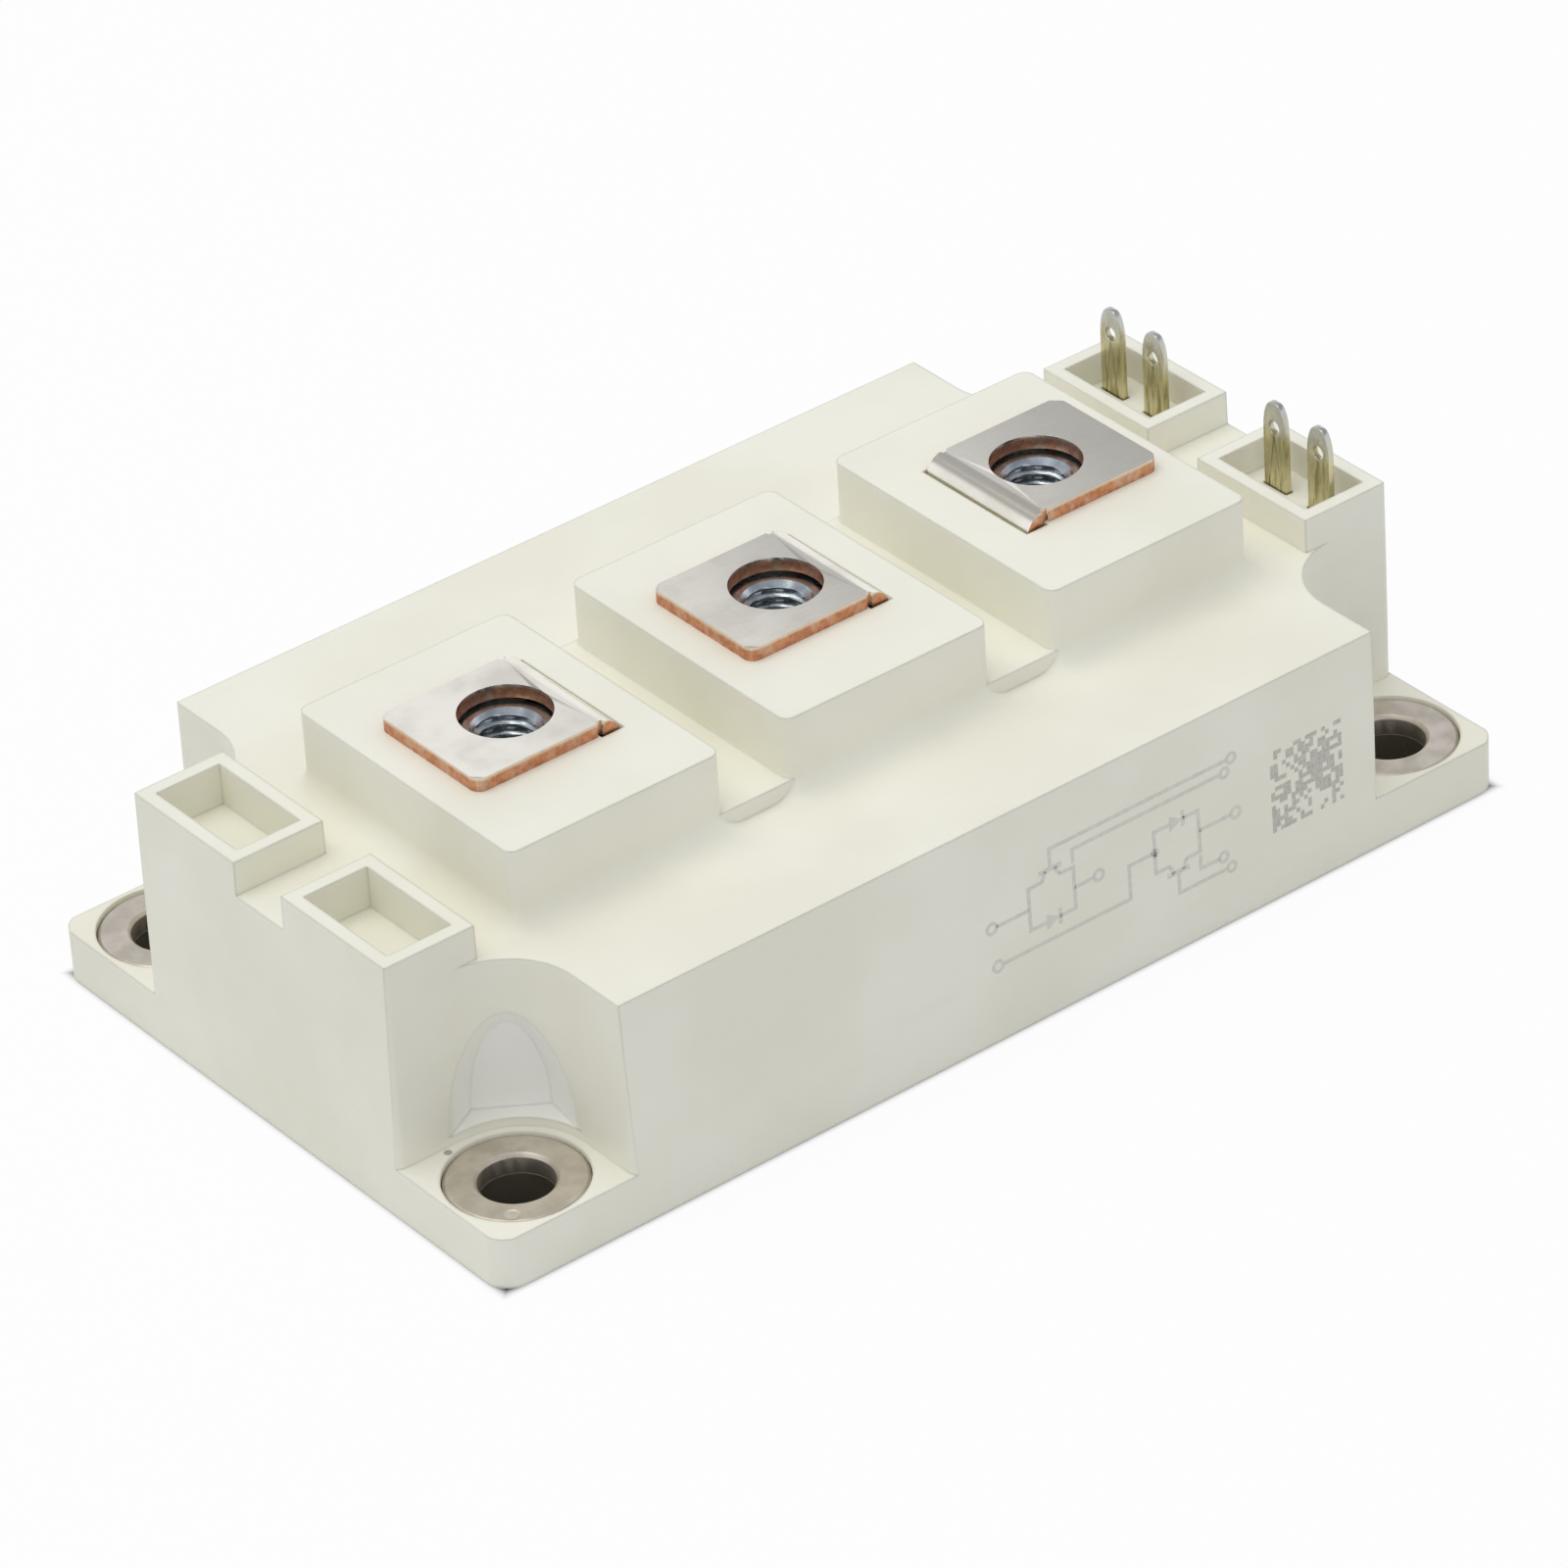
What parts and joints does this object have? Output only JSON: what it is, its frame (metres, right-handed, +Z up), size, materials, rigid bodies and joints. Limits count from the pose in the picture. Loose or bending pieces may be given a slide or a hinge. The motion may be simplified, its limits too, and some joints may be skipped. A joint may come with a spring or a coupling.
{
  "type": "half-bridge power transistor module",
  "caption": "Low ivory power module with three screw terminals on raised blocks, signal blades at one end and four ringed corner holes.",
  "frame": {"origin": "middle of the underside of the base plate", "axes": "+X along the case towards the signal blades, +Y across to the side away from the marked face, +Z up from the heat sink"},
  "size_m": [0.1064, 0.0614, 0.03],
  "materials": {
    "plated_base": "nickel-plated copper, satin",
    "case_plastic": "moulded ivory plastic, fine matt texture",
    "ring_steel": "turned steel, dull",
    "plated_terminal": "nickel-plated copper with sheared bare edges",
    "zinc_nut": "zinc-plated steel",
    "tinned_tab": "plated brass, dull",
    "bare_copper": "bare copper",
    "ceramic": "white alumina",
    "silicon": "metallised silicon",
    "aluminium_wire": "drawn wire"
  },
  "bodies": {
    "root": {"base_plate": "plated_base", "housing": "case_plastic", "mounting_ring_1": "ring_steel", "mounting_ring_2": "ring_steel", "mounting_ring_3": "ring_steel", "mounting_ring_4": "ring_steel", "power_terminal_1": "plated_terminal", "power_terminal_2": "plated_terminal", "power_terminal_3": "plated_terminal", "terminal_nut_1": "zinc_nut", "terminal_nut_2": "zinc_nut", "terminal_nut_3": "zinc_nut", "signal_tab_1": "tinned_tab", "signal_tab_2": "tinned_tab", "signal_tab_3": "tinned_tab", "signal_tab_4": "tinned_tab", "left_back_copper": "bare_copper", "left_ceramic": "ceramic", "left_copper_pattern": "bare_copper", "right_back_copper": "bare_copper", "right_ceramic": "ceramic", "right_copper_pattern": "bare_copper", "transistor_chip_1": "silicon", "transistor_chip_2": "silicon", "transistor_chip_3": "silicon", "transistor_chip_4": "silicon", "transistor_chip_5": "silicon", "transistor_chip_6": "silicon", "diode_chip_1": "silicon", "diode_chip_2": "silicon", "diode_chip_3": "silicon", "diode_chip_4": "silicon", "diode_chip_5": "silicon", "diode_chip_6": "silicon", "left_bond_wires": "aluminium_wire", "right_bond_wires": "aluminium_wire", "link_bond_wires": "aluminium_wire"}
  },
  "joints": []
}
